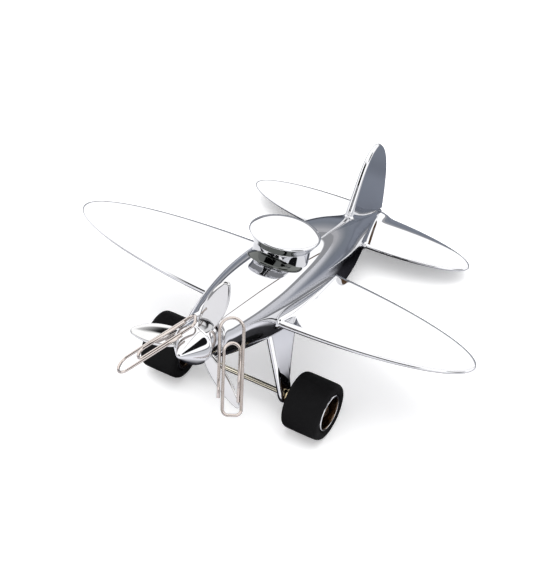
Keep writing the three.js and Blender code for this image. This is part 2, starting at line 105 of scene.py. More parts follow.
# %% Metal finish
def finish(name, colour, shade, metallic, rough, haze_scale, bump=0.0, bump_scale=600.0):
    """A finish whose colour and roughness drift between two values, with a fine bump."""
    material = bpy.data.materials.new(name)
    material.use_nodes = True
    tree = material.node_tree
    surface = tree.nodes["Principled BSDF"]
    surface.inputs["Metallic"].default_value = metallic
    place = tree.nodes.new("ShaderNodeTexCoord")
    haze = tree.nodes.new("ShaderNodeTexNoise")
    haze.inputs["Scale"].default_value = haze_scale
    haze.inputs["Detail"].default_value = 4.0
    haze.inputs["Roughness"].default_value = 0.6
    tree.links.new(place.outputs["Object"], haze.inputs["Vector"])
    tint = tree.nodes.new("ShaderNodeMix")
    tint.data_type = "RGBA"
    tint.inputs["A"].default_value = (*colour, 1)
    tint.inputs["B"].default_value = (*shade, 1)
    tree.links.new(haze.outputs["Fac"], tint.inputs["Factor"])
    tree.links.new(tint.outputs["Result"], surface.inputs["Base Color"])
    polish = tree.nodes.new("ShaderNodeMapRange")
    polish.inputs["From Min"].default_value = 0.3
    polish.inputs["From Max"].default_value = 0.7
    polish.inputs["To Min"].default_value = rough[0]
    polish.inputs["To Max"].default_value = rough[1]
    tree.links.new(haze.outputs["Fac"], polish.inputs["Value"])
    tree.links.new(polish.outputs["Result"], surface.inputs["Roughness"])
    if bump:
        grain = tree.nodes.new("ShaderNodeTexNoise")
        grain.inputs["Scale"].default_value = bump_scale
        grain.inputs["Detail"].default_value = 3.0
        tree.links.new(place.outputs["Object"], grain.inputs["Vector"])
        relief = tree.nodes.new("ShaderNodeBump")
        relief.inputs["Strength"].default_value = bump
        relief.inputs["Distance"].default_value = 0.0001
        tree.links.new(grain.outputs["Fac"], relief.inputs["Height"])
        tree.links.new(relief.outputs["Normal"], surface.inputs["Normal"])
    return material


# name, colour, shade, metallic, roughness from and to, haze scale, bump, bump scale
CHROME = finish(
    "chrome_plate", (0.68, 0.68, 0.695), (0.62, 0.625, 0.645), 1.0, (0.01, 0.035), 60)
CHROME_PROP = finish(
    "chrome_blade", (0.66, 0.655, 0.65), (0.60, 0.60, 0.60), 1.0, (0.02, 0.05), 90)
CHROME_VISOR = finish(
    "dark_visor", (0.12, 0.125, 0.12), (0.07, 0.075, 0.07), 1.0, (0.02, 0.06), 90)
STEEL = finish(
    "ground_steel", (0.60, 0.60, 0.61), (0.48, 0.48, 0.50), 1.0, (0.22, 0.36), 220, 0.15, 2500)
BRASS = finish(
    "turned_brass", (0.86, 0.74, 0.50), (0.70, 0.55, 0.30), 1.0, (0.16, 0.30), 240, 0.12, 2200)
# dark and dull: for the wheels' recesses and the axle caps
DARK_DULL = finish(
    "dull_barrel", (0.16, 0.10, 0.055), (0.07, 0.045, 0.03), 1.0, (0.16, 0.32), 260, 0.1, 2200)
AXLE_METAL = finish(
    "drawn_axle", (0.82, 0.78, 0.66), (0.66, 0.60, 0.46), 1.0, (0.10, 0.20), 200, 0.1, 2200)
MAGNET = finish(
    "magnet_face", (0.30, 0.30, 0.31), (0.18, 0.18, 0.19), 0.7, (0.35, 0.5), 300, 0.2, 2600)
WIRE = finish(
    "nickel_wire", (0.62, 0.57, 0.54), (0.50, 0.44, 0.41), 1.0, (0.04, 0.09), 300, 0.05, 3000)
RUBBER = finish(
    "tyre_rubber", (0.003, 0.003, 0.0035), (0.006, 0.006, 0.0065), 0.0, (0.7, 0.9), 300, 0.6, 2600)
RUBBER.node_tree.nodes["Principled BSDF"].inputs["Specular IOR Level"].default_value = 0.12
print("finishes", len(bpy.data.materials))

# %% [markdown]
# ## Keeping a finished piece
# Every shape is drawn level in millimetres and then carried to its place by
# one matrix, so its object stays at the origin. A closed shape with a negative
# volume is inside out, so its faces are turned.

# %% Keep a piece
SAME_POINT = 1e-5  # mm; two vertices this close are one


def keep(name, bm, body, stands_for, material, levels=0, place=AIR):
    """Place a drawn shape, give it its finish and hang it on its body."""
    bmesh.ops.remove_doubles(bm, verts=bm.verts, dist=SAME_POINT)
    bmesh.ops.transform(bm, matrix=place, verts=bm.verts)
    bmesh.ops.recalc_face_normals(bm, faces=bm.faces)
    if bm.calc_volume(signed=True) < 0:
        bmesh.ops.reverse_faces(bm, faces=bm.faces)
    for face in bm.faces:
        face.smooth = True
    mesh = bpy.data.meshes.new(name)
    bm.to_mesh(mesh)
    bm.free()
    mesh.materials.append(material)
    piece = bpy.data.objects.new(name, mesh)
    bpy.context.scene.collection.objects.link(piece)
    if levels:
        smooth = piece.modifiers.new("round", "SUBSURF")
        smooth.levels = smooth.render_levels = levels
    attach(piece, body)
    if stands_for:
        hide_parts(*stands_for)
    print(name, len(mesh.vertices), "vertices")
    return piece


print("pieces are placed by", AIR.to_translation(), "and tipped", round(pitch, 3))

# %% [markdown]
# ## The fuselage
# It is a teardrop, cast in one piece, deeper below than above, and its back is
# a little flatter than an ellipse. Rings stand at stations along it and are
# bridged, and subdivision rounds the skin between them. A smooth cubic through
# the stations gives the rings between, so few numbers set the whole shape.

# %% Fuselage stations: distance aft, half width, top, bottom
STATIONS = [
    (17.1, 7.3, 7.2, -7.7),
    (17.4, 7.8, 7.7, -8.2),
    (20.0, 8.5, 8.1, -9.0),
    (24.0, 9.5, 8.9, -10.1),
    (30.0, 10.8, 9.9, -11.4),
    (37.0, 12.1, 10.9, -12.8),
    (45.0, 13.2, 11.8, -14.1),
    (54.0, 14.1, 12.4, -15.3),
    (64.0, 14.5, 12.7, -16.5),
    (74.0, 14.6, 12.5, -17.4),
    (84.0, 14.4, 11.8, -18.2),
    (94.0, 13.8, 10.6, -18.7),
    (104.0, 12.7, 8.9, -18.9),
    (113.0, 10.9, 6.8, -18.7),
    (121.0, 8.9, 4.3, -17.8),
    (129.0, 6.8, 1.8, -15.9),
    (136.0, 5.1, -0.5, -13.7),
    (142.0, 3.8, -2.3, -11.7),
    (148.0, 2.7, -3.9, -9.6),
    (153.0, 1.7, -5.0, -7.6),
    (156.0, 0.7, -5.6, -6.6),
]
RING = 40  # vertices round each ring
FLAT_TOP = 2.4  # how square the upper half of a ring is; 2 would be an ellipse


def section(y):
    """Half width, middle height and half height of the fuselage at a distance aft."""
    last = len(STATIONS) - 1
    i = max(k for k in range(last) if k == 0 or STATIONS[k][0] <= y)
    a, b = STATIONS[i], STATIONS[i + 1]
    before, after = STATIONS[max(i - 1, 0)], STATIONS[min(i + 2, last)]
    t = min(max((y - a[0]) / (b[0] - a[0]), 0.0), 1.0)
    values = []
    for c in (1, 2, 3):
        span = b[0] - a[0]
        slope_a = (b[c] - before[c]) / (b[0] - before[0]) * span
        slope_b = (after[c] - a[c]) / (after[0] - a[0]) * span
        values.append(
            a[c] * (2 * t**3 - 3 * t**2 + 1)
            + b[c] * (3 * t**2 - 2 * t**3)
            + slope_a * (t**3 - 2 * t**2 + t)
            + slope_b * (t**3 - t**2)
        )
    wide, top, bottom = values
    return wide, (top + bottom) / 2, (top - bottom) / 2


def hoop(bm, y):
    """One ring of the skin: an ellipse whose upper half is squared a little."""
    wide, middle, half = section(y)
    upright = Matrix.Rotation(math.pi / 2, 4, "X") @ Matrix.Diagonal((wide, half, 1, 1))
    place = Matrix.Translation((0, y, middle)) @ upright
    made = bmesh.ops.create_circle(bm, segments=RING, radius=1, matrix=place)
    for vert in made["verts"]:
        across, up = vert.co.x / wide, (vert.co.z - middle) / half
        if up > 0:
            vert.co.x = wide * math.copysign(abs(across) ** (2 / FLAT_TOP), across)
            vert.co.z = middle + half * up ** (2 / FLAT_TOP)
    return list({e for v in made["verts"] for e in v.link_edges})


def ring_positions():
    """Every station, and one more between each pair."""
    places = [STATIONS[0][0], STATIONS[1][0]]
    for a, b in zip(STATIONS[1:], STATIONS[2:]):
        places += [(a[0] + b[0]) / 2, b[0]]
    return places


print("rings along the fuselage", len(ring_positions()))

# %% [markdown]
# ## Rounding and grinding
# The rings alone would leave flats that a mirror shows. Subdivision could stay
# a live modifier, but the tail must be cut after it: where the tail meets the
# desk the real casting is ground flat. So the rounded shape is taken into a
# new mesh first, and the desk's own plane cuts that.

# %% Loft the fuselage and grind its tail
FUSELAGE_LEVELS = 2


def rounded(bm, levels):
    """The same shape after subdivision, as a new bmesh."""
    mesh = bpy.data.meshes.new("draft")
    bm.to_mesh(mesh)
    bm.free()
    draft = bpy.data.objects.new("draft", mesh)
    bpy.context.scene.collection.objects.link(draft)
    smooth = draft.modifiers.new("round", "SUBSURF")
    smooth.levels = smooth.render_levels = levels
    bpy.context.view_layer.update()
    done = draft.evaluated_get(bpy.context.evaluated_depsgraph_get())
    result = bmesh.new()
    result.from_mesh(done.to_mesh())
    done.to_mesh_clear()
    bpy.data.objects.remove(draft)
    bpy.data.meshes.remove(mesh)
    return result


def cut_flat(bm, point, normal):
    """Remove what lies beyond a plane and close the cut."""
    geometry = [*bm.verts, *bm.edges, *bm.faces]
    cut = bmesh.ops.bisect_plane(
        bm, geom=geometry, dist=1e-6, plane_co=point, plane_no=normal, clear_outer=True
    )
    rim = [e for e in cut["geom_cut"] if isinstance(e, bmesh.types.BMEdge)]
    bmesh.ops.holes_fill(bm, edges=rim, sides=0)


bm = bmesh.new()
hoops = [hoop(bm, y) for y in ring_positions()]
for front, back in zip(hoops, hoops[1:]):
    bmesh.ops.bridge_loops(bm, edges=front + back)
for end in (hoops[0], hoops[-1]):
    face = bmesh.ops.edgeloop_fill(bm, edges=end)["faces"]
    bmesh.ops.poke(bm, faces=face)
bmesh.ops.recalc_face_normals(bm, faces=bm.faces)
bm = rounded(bm, FUSELAGE_LEVELS)
to_level = AIR.inverted()
desk_normal = to_level.to_3x3() @ Vector((0, 0, -1))
cut_flat(bm, to_level.to_translation(), desk_normal.normalized())
keep("fuselage_skin", bm, "airframe", ["fuselage"], CHROME)

# %% [markdown]
# ## Plates with a soft edge
# Wings, tailplanes, fin, legs and blades are all plates: an outline, a little
# thickness, an edge rounded over, and a slight crown that makes the plating
# shade from one side to the other. The outline is one ring of edges. It is
# extruded inwards ring by ring, each ring a smaller copy of the outline about
# its middle, and each vertex is lifted by how far in from the edge it really
# is. One half is made and then mirrored.

# %% Soft plate
# How far in each ring stands, as a share of the way to the middle: close
# together over the rounded edge, then wider and wider across the flat.
STEPS_IN = (
    0.0004, 0.0014, 0.003, 0.0055, 0.009, 0.0135, 0.019, 0.026, 0.034, 0.044, 0.056, 0.07,
)
STEPS_ACROSS = (
    0.082, 0.096, 0.112, 0.13, 0.15, 0.175, 0.205, 0.24, 0.28, 0.34, 0.42, 0.52, 0.64, 0.78, 0.9,
)


def ring_edges(bm, ring):
    """The edges that join a ring's vertices in turn."""
    return [bm.edges.get(pair) for pair in zip(ring, [*ring[1:], ring[0]])]


def soft_plate(outline, middle, thickness, crown=0.0, ease=lambda x, y: 1.0):
    """A plate lying flat, rounded over at its edge.

    thickness(x, y) is the full thickness there, and ease(x, y) says how many
    times wider than high the rounding is at a point of the outline.
    """
    count = len(outline)
    points = [Vector((x, y, 0)) for x, y in outline]
    centre = Vector((*middle, 0))
    reach = []
    for i, point in enumerate(points):
        along = points[(i + 1) % count] - points[i - 1]
        outward = Vector((along.y, -along.x, 0)).normalized()
        reach.append(abs((point - centre).dot(outward)))
    bm = bmesh.new()
    ring = bmesh.ops.create_circle(bm, segments=count, radius=1)["verts"]
    for vert, point in zip(ring, points):
        vert.co = point
    for step in (*STEPS_IN, *STEPS_ACROSS):
        made = bmesh.ops.extrude_edge_only(bm, edges=ring_edges(bm, ring))["geom"]
        fresh = {v for v in made if isinstance(v, bmesh.types.BMVert)}
        inner = [
            next(e.other_vert(v) for e in v.link_edges if e.other_vert(v) in fresh)
            for v in ring
        ]
        for i, vert in enumerate(inner):
            flat = centre.lerp(points[i], 1 - step)
            half = thickness(flat.x, flat.y) / 2
            inward = min(step * reach[i] / (half * ease(*outline[i])), 1.0)
            swell = crown * (1 - (1 - step) ** 2)
            vert.co = (flat.x, flat.y, half * math.sqrt(1 - (1 - inward) ** 2) + swell)
        ring = inner
    face = bmesh.ops.edgeloop_fill(bm, edges=ring_edges(bm, ring))["faces"]
    bmesh.ops.poke(bm, faces=face)
    bmesh.ops.mirror(bm, geom=[*bm.verts, *bm.edges, *bm.faces], axis="Z", merge_dist=1e-4)
    return bm


print("rings in from a plate's edge", len(STEPS_IN) + len(STEPS_ACROSS))

# %% [markdown]
# ## Wings and tailplanes
# Both are nearly elliptical in plan, with a round leading edge and a long soft
# trailing edge. Each is drawn right across and cut inside the fuselage, so the
# two sides are separate pieces that match. The port tailplane's rear edge is
# bent down a little near the root.

# %% Wing and tailplane panels
# half span, middle, depth to the front and rear, power of the outline (2 is an
# ellipse), thickness at root and tip, crown, and where the root is cut, in mm
WING = dict(
    half=77.5, y=68.5, z=-1.7, front=23.8, rear=22.4, n=1.97, root=3.0, tip=1.7, crown=0.35, cut=9.0,
)
TAIL = dict(
    half=44.35, y=139.3, z=-5.8, front=14.6, rear=14.7, n=1.9, root=2.1, tip=1.4, crown=0.3, cut=1.2,
)
EASE = dict(middle=1.75, spread=0.65)  # of the edge's rounding: less in front, more behind
PANEL_POINTS = 144


def planform(s):
    """Points round the whole surface, in its own plane."""
    outline = []
    for i in range(PANEL_POINTS):
        a = 2 * math.pi * (i + 0.5) / PANEL_POINTS
        x, y = math.cos(a), math.sin(a)
        depth = s["rear"] if y > 0 else s["front"]
        out = math.copysign(s["half"] * abs(x) ** (2 / s["n"]), x)
        outline.append((out, math.copysign(depth * abs(y) ** (2 / s["n"]), y)))
    return outline


def edge_ease(s, y):
    """The leading edge is round, the trailing edge long and soft."""
    back = min(max(y / s["rear"], -1.0), 1.0)
    return EASE["middle"] + EASE["spread"] * back


def thick_at(s, out):
    """A panel's full thickness at a distance out from the middle."""
    return s["root"] + (s["tip"] - s["root"]) * out / s["half"]


def panel(s, sign):
    """One side of a wing or tailplane, closed at its hidden root."""
    thickness = lambda x, y: thick_at(s, abs(x))
    bm = soft_plate(planform(s), (0, 0), thickness, s["crown"], lambda x, y: edge_ease(s, y))
    cut_flat(bm, (sign * s["cut"], 0, 0), (-sign, 0, 0))
    bmesh.ops.translate(bm, vec=(0, s["y"], s["z"]), verts=bm.verts)
    return bm


# The port tailplane's rear edge: how far in the bend reaches, its steepest
# slope, and how far out from the middle it starts and is full, in mm
BENT = dict(wide=13.0, tilt=0.25, start=2.5, full=7.0)


def bent(bm, s):
    """Bend a panel's rear edge down a little, more towards the root."""
    for vert in bm.verts:
        out = min(abs(vert.co.x) / s["half"], 1.0)
        edge = s["y"] + s["rear"] * (1 - out ** s["n"]) ** (1 / s["n"])
        wide = BENT["wide"] * (1 - out) + 0.01
        into = max(vert.co.y - (edge - wide), 0.0)
        past = (abs(vert.co.x) - BENT["start"]) / (BENT["full"] - BENT["start"])
        near = min(max(past, 0.0), 1.0)
        vert.co.z -= BENT["tilt"] / 2 / wide * into**2 * near * near * (3 - 2 * near)
    return bm


SIDES = (("port", 1), ("starboard", -1))
for side_name, sign in SIDES:
    keep(f"wing_skin_{side_name}", panel(WING, sign), "airframe",
         [f"wing_{side_name}"], CHROME)
    tailplane = panel(TAIL, sign)
    if side_name == "port":
        tailplane = bent(tailplane, TAIL)
    keep(f"tailplane_skin_{side_name}", tailplane, "airframe",
         [f"tailplane_{side_name}"], CHROME)

# %% [markdown]
# ## Root fillets
# The casting has no sharp corner where a plate leaves the body. A fillet is a
# collar round the plate's root: it leaves the fuselage along the skin, a
# little outside the root, and ends on the plate, a little way out. A Boolean
# join and a bevel could make it, but their facets are hard to keep even along
# so slanting a join, and a mirror shows them. So each of the collar's rings is
# worked out from the two surfaces: a circle of vertices is moved into place
# and bridged to the next one.

# %% Collar between a plate and the fuselage
def flank(y, z):
    """How far out the fuselage's side is, at a place seen from the side."""
    wide, middle, half = section(y)
    up = min(abs(z - middle) / half, 0.99)
    power = FLAT_TOP if z > middle else 2
    return wide * (1 - up**power) ** (1 / power)


def roof(x, y):
    """How high the fuselage's back is, at a place seen from above."""
    wide, middle, half = section(y)
    out = min(abs(x) / wide, 0.97)
    return middle + half * (1 - out**FLAT_TOP) ** (1 / FLAT_TOP)


# points round, rings, how far the foot is sunk in the skin, how far up the
# plate it reaches for its width, and the slopes of the skin it will follow
COLLAR = dict(count=96, steps=12, sunk=0.02, reach=0.8, least=-0.2, most=1.2)


def collar(root, body, size, swap):
    """A fillet round a plate's root.

    root(turn, out) is the plate's section at a distance out, body(u, v) the
    skin's distance out, size(turn) the fillet's width, and swap(u, v, out) the
    place in the aircraft's axes.
    """
    count, steps = COLLAR["count"], COLLAR["steps"]
    rings = [[] for _ in range(steps + 1)]
    small = 0.01
    for i in range(count):
        turn = 2 * math.pi * (i + 0.5) / count
        start = Vector(root(turn, 0))
        base = Vector(root(turn, body(*start)))
        ahead = Vector(root(turn + 0.02, body(*start)))
        behind = Vector(root(turn - 0.02, body(*start)))
        run = ahead - behind
        normal = Vector((run.y, -run.x)).normalized()
        wide = size(turn)
        foot = base + normal * wide
        skin = body(*foot)
        slope = (body(*(foot - normal * small)) - skin) / small
        bend = skin + min(max(slope, COLLAR["least"]), COLLAR["most"]) * wide
        end = bend + wide * COLLAR["reach"]
        points = [
            (foot, skin - COLLAR["sunk"]),
            (Vector(root(turn, bend)), bend),
            (Vector(root(turn, end)), end),
        ]
        for k, ring in enumerate(rings):
            t = k / steps
            weights = ((1 - t) ** 2, 2 * t * (1 - t), t * t)
            u = sum(w * q[0].x for w, q in zip(weights, points))
            v = sum(w * q[0].y for w, q in zip(weights, points))
            out = sum(w * q[1] for w, q in zip(weights, points))
            ring.append(swap(u, v, out))
    bm = bmesh.new()
    loops = []
    for ring in rings:
        made = bmesh.ops.create_circle(bm, segments=count, radius=1)["verts"]
        for vert, point in zip(made, ring):
            vert.co = point
        loops.append(list({e for v in made for e in v.link_edges}))
    for near, far in zip(loops, loops[1:]):
        bmesh.ops.bridge_loops(bm, edges=near + far)
    return bm


print("half width of the skin at the wings' middle", round(flank(WING["y"], WING["z"]), 2))

# %% Wing and tailplane fillets
def panel_root(s):
    """The section of a panel at a distance out from the middle, as a function."""
    def at(turn, out):
        c = math.cos(turn)
        depth = s["rear"] if c > 0 else s["front"]
        edge = depth * max(1 - (out / s["half"]) ** s["n"], 0.0) ** (1 / s["n"])
        y = edge * c
        rho = min(((out / s["half"]) ** s["n"] + abs(y / depth) ** s["n"]) ** (1 / s["n"]), 1.0)
        grip = math.hypot(out / s["half"] ** 2, y / depth**2) or 1e-9
        half = thick_at(s, out) / 2
        inward = min((1 - rho) * rho / grip / (half * edge_ease(s, y)), 1.0)
        height = half * math.sqrt(1 - (1 - inward) ** 2) + s["crown"] * (1 - rho * rho)
        return s["y"] + y, s["z"] + math.copysign(height, math.sin(turn))
    return at


def wing_size(turn):
    """Small round both edges, broad over the front half of the root, in mm."""
    front = (1 - math.cos(turn)) / 2
    return 0.3 + 0.6 * front + 3.2 * front**1.5 * abs(math.sin(turn)) + 0.4 * front**4


def tail_size(turn):
    """Broadest at the leading edge."""
    return 0.4 + 1.5 * ((1 - math.cos(turn)) / 2) ** 1.5


for side_name, sign in SIDES:
    outward = lambda u, v, out: Vector((sign * out, u, v))
    keep(f"wing_fillet_{side_name}", collar(panel_root(WING), flank, wing_size, outward),
         "airframe", [], CHROME)
    keep(f"tail_fillet_{side_name}", collar(panel_root(TAIL), flank, tail_size, outward),
         "airframe", [], CHROME)

# %% [markdown]
# ## The fin
# An upright plate with a raked, rounded leading edge, thinner to the top and
# to the back. Its outline is a few cubic curves joined end to end. It is drawn
# lying down, as every plate is, and stood up.

# %% Fin
FIN = dict(thick=3.0, foot=2.0, top=28.4, thin_up=0.28, start=130.0, run=26.0, thin_aft=0.45)


def bezier(a, b, c, d, count):
    """Points along a cubic, without its first one."""
    a, b, c, d = map(Vector, (a, b, c, d))
    done = []
    for i in range(1, count + 1):
        t = i / count
        ends = a * (1 - t) ** 3 + d * t**3
        done.append(tuple(ends + b * 3 * t * (1 - t) ** 2 + c * 3 * t * t * (1 - t)))
    return done


fin_outline = [(123.4, -1.0)]
fin_outline += bezier((123.4, -1.0), (123.3, 2.0), (123.5, 4.5), (124.2, 6.6), 6)
fin_outline += bezier((124.2, 6.6), (126.2, 12.0), (127.2, 18.5), (130.0, 23.6), 16)
fin_outline += bezier((130.0, 23.6), (132.6, 28.2), (137.6, FIN["top"] + 1.6), (141.2, 27.0), 18)
fin_outline += bezier((141.2, 27.0), (146.4, 24.0), (150.2, 17.0), (152.2, 10.0), 16)
fin_outline += bezier((152.2, 10.0), (153.6, 5.0), (154.8, 0.0), (155.4, -4.6), 12)
fin_outline += bezier((155.4, -4.6), (147.0, -4.4), (135.0, -2.8), (123.4, -1.0), 18)[:-1]


def fin_thickness(y, z):
    """Thickest at the foot of the leading edge."""
    up = min(max((z - FIN["foot"]) / (FIN["top"] - FIN["foot"]), 0), 1)
    aft = min(max((y - FIN["start"]) / FIN["run"], 0), 1)
    return FIN["thick"] * (1 - FIN["thin_up"] * up) * (1 - FIN["thin_aft"] * aft)


bm = soft_plate(fin_outline, (139.5, 11.0), fin_thickness)
stand = Matrix(((0, 0, 1, 0), (1, 0, 0, 0), (0, 1, 0, 0), (0, 0, 0, 1)))
bmesh.ops.transform(bm, matrix=stand, verts=bm.verts)
keep("fin_skin", bm, "airframe", ["fin"], CHROME)


def fin_root(turn, out):
    """The fin's section at a height, for its fillet."""
    front = 123.5 + 0.12 * (out + 1)
    rear = 155.3 - 0.22 * (out + 4.6)
    c = math.cos(turn)
    y = (front + rear) / 2 + (rear - front) / 2 * c
    half = fin_thickness(y, out) / 2
    inward = min((1 - abs(c)) * (rear - front) / 2 / half, 1.0)
    return math.copysign(half * math.sqrt(1 - (1 - inward) ** 2), -math.sin(turn)), y


def fin_size(turn):
    """Almost all of it at the leading edge."""
    return 0.3 + 1.7 * ((1 - math.cos(turn)) / 2) ** 3


keep("fin_fillet", collar(fin_root, roof, fin_size, lambda u, v, out: Vector((u, v, out))),
     "airframe", [], CHROME)

# %% [markdown]
# ## Legs
# Two flat legs splay out from the belly to the axle, broad above and narrow
# and round at the foot. They are plates too, drawn with the foot at zero, and
# leaned outwards about the axle. Their tops run on inside the fuselage.

# %% Legs
WHEEL = dict(y=55.67, z=-32.9, r=10.51, inner=21.05, outer=35.35, rim=6.85)
LEG = dict(top_x=8.2, top_z=-12.0, foot_x=16.9, thick=2.6, foot_r=3.3)
splay = math.atan2(LEG["foot_x"] - LEG["top_x"], LEG["top_z"] - WHEEL["z"])
leg_length = (LEG["top_z"] - WHEEL["z"]) / math.cos(splay)

front_top = (52.0 - WHEEL["y"], leg_length + 3)
rear_top = (71.6 - WHEEL["y"], leg_length + 3)
rear_knee = (70.4 - WHEEL["y"], leg_length - 3.5)
foot_turns = [math.pi * k / 16 for k in range(1, 15)]

leg_outline = [front_top]
leg_outline += bezier(front_top, (-3.6, 16.0), (-3.4, 8.0), (-3.25, 0.6), 14)
leg_outline += [(-LEG["foot_r"] * math.cos(a), -LEG["foot_r"] * math.sin(a)) for a in foot_turns]
leg_outline += bezier((LEG["foot_r"], 1.2), (6.5, 8.0), (11.2, 15.0), rear_knee, 14)
leg_outline += bezier(rear_knee, (15.1, 21.0), (15.4, 23.0), rear_top, 5)
leg_outline += bezier(rear_top, (10, leg_length + 3), (2, leg_length + 3), front_top, 8)[:-1]

for side_name, sign in SIDES:
    bm = soft_plate(leg_outline, (5.0, 13.0), lambda x, y: LEG["thick"])
    bmesh.ops.transform(bm, matrix=stand, verts=bm.verts)
    foot = Matrix.Translation((LEG["foot_x"], WHEEL["y"], WHEEL["z"]))
    lean = foot @ Matrix.Rotation(-splay, 4, "Y")
    bmesh.ops.transform(bm, matrix=Matrix.Diagonal((sign, 1, 1, 1)) @ lean, verts=bm.verts)
    keep(f"leg_skin_{side_name}", bm, "airframe", [f"leg_{side_name}"], CHROME)

# %% [markdown]
# ## Turned pieces
# Spinner, hub, wheels and cap were turned, so each is one profile spun round
# its axis. Subdivision would melt the corners, and a bevel modifier on every
# piece would be one more thing to set. So a corner that stays crisp has two
# profile points close together, and subdivision rounds the rest.

# %% Spin a profile
ABOUT_Z = Matrix.Identity(4)
ABOUT_Y = Matrix.Rotation(-math.pi / 2, 4, "X")
ABOUT_X = Matrix.Rotation(math.pi / 2, 4, "Y")
MOST_OF_A_SIDE = 0.45  # how much of a side a crisp corner may take


def spun(profile, place=ABOUT_Z, steps=48, closed=False):
    """Turn (radius, height) points once round +Z, then place the result."""
    bm = bmesh.new()
    verts = [bm.verts.new((r, 0, h)) for r, h in profile]
    pairs = list(zip(verts, verts[1:]))
    if closed:
        pairs.append((verts[-1], verts[0]))
    edges = [bm.edges.new(p) for p in pairs]
    bmesh.ops.spin(
        bm, geom=verts + edges, cent=(0, 0, 0), axis=(0, 0, 1), angle=2 * math.pi,
        steps=steps, use_merge=True,
    )
    bmesh.ops.remove_doubles(bm, verts=bm.verts, dist=1e-4)
    bmesh.ops.transform(bm, matrix=place, verts=bm.verts)
    return bm


def crisp(points, corner=0.12):
    """Add a close pair of points at every bend, so that subdivision keeps it."""
    done = [points[0]]
    for before, here, after in zip(points, points[1:], points[2:]):
        for other in (before, after):
            t = min(corner / math.dist(here, other), MOST_OF_A_SIDE)
            done.append((here[0] + (other[0] - here[0]) * t, here[1] + (other[1] - here[1]) * t))
    return [*done, points[-1]]


print("a crisp corner takes at most", MOST_OF_A_SIDE, "of a side")


# %% Spinner, hub and magnet
SPINNER_TIP = [(0, 0.0), (0.35, 0.03), (0.75, 0.22), (1.15, 0.6)]
SPINNER_SIDE = [(2.35, 2.2), (3.6, 3.9), (4.85, 5.65), (5.95, 7.25), (6.7, 8.5)]
SPINNER_BACK = [(6.98, 9.25), (6.9, 9.4), (6.7, 9.4), (0, 9.4)]
spinner = SPINNER_TIP + SPINNER_SIDE + SPINNER_BACK
keep("spinner_skin", spun(spinner, ABOUT_Y), "propeller", ["spinner"], CHROME, 2)

hub = crisp([(0, 9.75), (6.3, 9.75), (6.9, 10.3), (6.9, 16.0), (6.4, 16.6), (0, 16.6)], 0.15)
keep("hub_skin", spun(hub, ABOUT_Y), "propeller", ["prop_hub"], CHROME, 2)

# %% [markdown]
# ## Blades
# Each blade is a petal, lightly crowned between soft edges, set at a small
# pitch and planted in the hub. It is thinner at the tip.

# %% Propeller blades
PROP = dict(r=26.1, half=3.5, thick=1.35, thin=0.3, crown=0.22, ease=1.9, count=3, first=13.8, pitch=13.0)


def petal():
    """A blade's outline, standing up from the shaft."""
    half, tip = PROP["half"], PROP["r"]
    outline = [(-1.9, 3.6)]
    outline += bezier((-1.9, 3.6), (-1.0, 3.4), (1.0, 3.4), (1.9, 3.6), 6)
    outline += bezier((1.9, 3.6), (half * 1.15, 9.0), (half * 1.42, 18.5), (1.3, tip - 0.9), 26)
    outline += bezier((1.3, tip - 0.9), (0.8, tip + 0.25), (-0.8, tip + 0.25), (-1.3, tip - 0.9), 8)
    outline += bezier((-1.3, tip - 0.9), (-half * 1.42, 18.5), (-half * 1.15, 9.0), (-1.9, 3.6), 26)[:-1]
    return outline


def blade_thickness(x, y):
    """Thinner towards the tip."""
    return PROP["thick"] * (1 - PROP["thin"] * y / PROP["r"])


for k in range(PROP["count"]):
    bm = soft_plate(petal(), (0, 14.5), blade_thickness, PROP["crown"], lambda x, y: PROP["ease"])
    bmesh.ops.rotate(bm, matrix=Matrix.Rotation(math.pi / 2, 3, "X"), verts=bm.verts)
    bmesh.ops.rotate(bm, matrix=Matrix.Rotation(math.radians(PROP["pitch"]), 3, "Z"), verts=bm.verts)
    swing = math.radians(PROP["first"] - 360 / PROP["count"] * k)
    bmesh.ops.rotate(bm, matrix=Matrix.Rotation(swing, 3, "Y"), verts=bm.verts)
    bmesh.ops.translate(bm, vec=(0, PROP_PLANE, 0), verts=bm.verts)
    keep(f"blade_skin_{k + 1}", bm, "propeller", [f"blade_{k + 1}"], CHROME_PROP)

# %% [markdown]
# ## Wheels
# A fat black tyre with a small shoulder, a thin bright rim, a deep dull recess,
# a brass bush, a brass spacer and a cap on the axle. The same profiles are spun
# for both sides. The recess is the rim's own mesh, so its faces only take a
# second material, chosen by how far they are from the axle.

# %% Wheels and axle
inner, outer, tyre_r, rim_r = WHEEL["inner"], WHEEL["outer"], WHEEL["r"], WHEEL["rim"]
tyre = [
    (rim_r + 0.25, inner + 0.6), (rim_r + 0.45, inner + 0.1), (tyre_r - 1.5, inner),
    (tyre_r - 0.55, inner + 0.25), (tyre_r - 0.08, inner + 1.2), (tyre_r, inner + 2.2),
    (tyre_r, outer - 2.2), (tyre_r - 0.08, outer - 1.2), (tyre_r - 0.55, outer - 0.25),
    (tyre_r - 1.5, outer), (rim_r + 0.45, outer - 0.1), (rim_r + 0.25, outer - 0.6),
]
rim = [
    (2.5, inner + 5.0), (5.2, inner + 5.4), (5.4, inner + 0.6), (rim_r - 0.3, inner + 0.2),
    (rim_r, inner + 0.6), (rim_r, outer - 0.7), (rim_r - 0.25, outer - 0.15),
    (6.1, outer - 0.15), (5.9, outer - 0.7), (5.6, outer - 5.2), (2.5, outer - 4.8),
    (2.5, inner + 5.0),
]
bush = [(1.2, inner + 1.0), (2.25, inner + 1.0), (2.25, outer - 4.2), (1.2, outer - 4.2)]
bush.append(bush[0])
spacer = [(1.2, 18.2), (2.3, 18.2), (2.3, inner + 0.7), (1.2, inner + 0.7)]
spacer.append(spacer[0])
